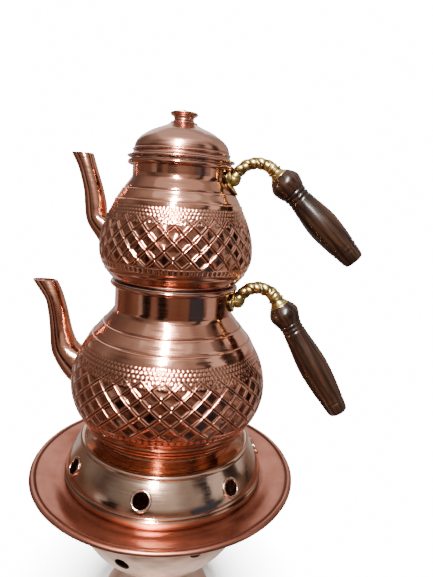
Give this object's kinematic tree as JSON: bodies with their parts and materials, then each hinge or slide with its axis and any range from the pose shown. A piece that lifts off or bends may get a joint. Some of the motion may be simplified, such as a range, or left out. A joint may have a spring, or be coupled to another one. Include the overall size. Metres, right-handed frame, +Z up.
{
  "type": "copper double teapot on a brazier stand",
  "caption": "Copper teapot stacked on a kettle, on a vented dome over a wide-brimmed brazier bowl; wooden grips.",
  "frame": {"origin": "centre of the foot's flat resting face", "axes": "+Z up along the common axis of bowl, dome, pots and lid; +X towards the handles; the spouts point to -X"},
  "size_m": [0.294, 0.24, 0.4593],
  "materials": {
    "pale_copper": "dull unpolished copper",
    "satin_copper": "satin reddish copper",
    "dome_copper": "polished pale copper",
    "polished_copper": "polished pink copper",
    "cast_brass": "cast, aged in the hollows",
    "brass_plain": "satin",
    "dark_wood": "turned, oiled, glossy",
    "steel": "satin",
    "steel_wire": "drawn",
    "cotton_wick": "braided cotton"
  },
  "bodies": {
    "stand": {"foot": "pale_copper", "lower_bowl": "pale_copper", "tray": "satin_copper", "tray_rim_wire": "steel_wire", "tray_rivets": "satin_copper", "burner_cup": "steel", "burner_collar": "brass_plain", "burner_wick": "cotton_wick"},
    "dome": {"stand_dome": "dome_copper"},
    "kettle": {"kettle_body": "polished_copper", "kettle_rim_wire": "steel_wire", "kettle_spout": "polished_copper", "kettle_handle_arm": "cast_brass", "kettle_handle_rivets": "brass_plain", "kettle_grip": "dark_wood", "kettle_grip_rod": "steel", "kettle_grip_nut": "brass_plain"},
    "teapot": {"teapot_body": "polished_copper", "teapot_rim_wire": "steel_wire", "teapot_spout": "polished_copper", "teapot_handle_arm": "cast_brass", "teapot_handle_rivets": "brass_plain", "teapot_grip": "dark_wood", "teapot_grip_rod": "steel", "teapot_grip_nut": "brass_plain"},
    "lid": {"lid_shell": "polished_copper", "lid_collar": "polished_copper", "lid_knob": "polished_copper", "lid_knob_rivet": "polished_copper"}
  },
  "joints": [
    {"name": "dome_lift", "type": "slide", "parent": "stand", "child": "dome", "axis": [0, 0, 1], "range_m": [0, 0.06]},
    {"name": "kettle_lift", "type": "slide", "parent": "dome", "child": "kettle", "axis": [0, 0, 1], "range_m": [0, 0.04]},
    {"name": "teapot_lift", "type": "slide", "parent": "kettle", "child": "teapot", "axis": [0, 0, 1], "range_m": [0, 0.06]},
    {"name": "lid_lift", "type": "slide", "parent": "teapot", "child": "lid", "axis": [0, 0, 1], "range_m": [0, 0.05]}
  ]
}
